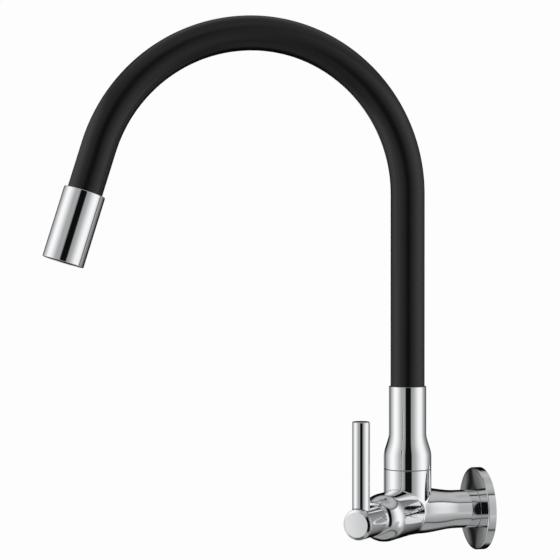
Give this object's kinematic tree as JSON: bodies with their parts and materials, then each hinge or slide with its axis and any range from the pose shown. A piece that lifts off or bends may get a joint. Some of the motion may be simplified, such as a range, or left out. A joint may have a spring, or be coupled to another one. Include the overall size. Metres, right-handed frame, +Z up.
{
  "type": "kitchen faucet",
  "caption": "Wall-mounted single-supply kitchen tap: chrome body with an upright lever valve at its side and a swivelling, bendable black gooseneck spout with a chrome nozzle.",
  "frame": {"origin": "on the face of the wall, at the axis of the supply's threaded tail", "axes": "+Z is up; +Y runs along the threaded tail into the wall, so the tap stands out towards -Y; +X is the right of a user who faces the wall"},
  "size_m": [0.0881, 0.3089, 0.3621],
  "materials": {
    "chrome_plate": "bright chrome plate, polished",
    "plain_brass": "turned brass, unplated",
    "stainless_steel": "plain stainless steel",
    "ceramic": "lapped alumina ceramic",
    "black_silicone": "matt black silicone",
    "seal_rubber": "black nitrile rubber",
    "white_plastic": "moulded white plastic",
    "black_plastic": "black acetal"
  },
  "bodies": {
    "valve": {"valve_body": "chrome_plate", "wall_flange": "chrome_plate", "flange_gasket": "seal_rubber", "inlet_strainer": "white_plastic", "seat_seal": "seal_rubber", "fixed_disc": "ceramic", "cartridge_bonnet": "plain_brass", "bonnet_o_ring": "seal_rubber", "slip_washer": "black_plastic", "snap_ring": "stainless_steel"},
    "handle": {"valve_spindle": "plain_brass", "moving_disc": "ceramic", "spindle_o_ring": "seal_rubber", "spindle_clip": "stainless_steel", "handle_hub": "chrome_plate", "hub_screw": "stainless_steel", "hub_cap": "chrome_plate", "lever_rod": "chrome_plate", "lever_stud": "stainless_steel"},
    "spout": {"spout_tail": "plain_brass", "tail_o_ring_lower": "seal_rubber", "tail_o_ring_upper": "seal_rubber", "spout_collar": "chrome_plate", "lower_ferrule": "plain_brass", "gooseneck_core": "stainless_steel", "water_tube": "white_plastic", "silicone_sleeve": "black_silicone"},
    "spout_tip": {"tip_ferrule": "plain_brass", "nozzle_sleeve": "chrome_plate", "aerator_washer": "seal_rubber", "aerator_insert": "white_plastic", "aerator_housing": "plain_brass"}
  },
  "joints": [
    {"name": "handle_turn", "type": "hinge", "parent": "valve", "child": "handle", "pos_m": [0, -0.054, 0], "axis": [0.7071, -0.7071, 0], "range_deg": [-90, 0]},
    {"name": "spout_swivel", "type": "hinge", "parent": "valve", "child": "spout", "pos_m": [0, -0.054, 0], "axis": [0, 0, 1], "continuous": true},
    {"name": "spout_bend", "type": "hinge", "parent": "spout", "child": "spout_tip", "pos_m": [0, -0.1601, 0.3223], "axis": [1, 0, 0], "range_deg": [-30, 30], "deforming": ["silicone_sleeve", "gooseneck_core", "water_tube"]}
  ]
}
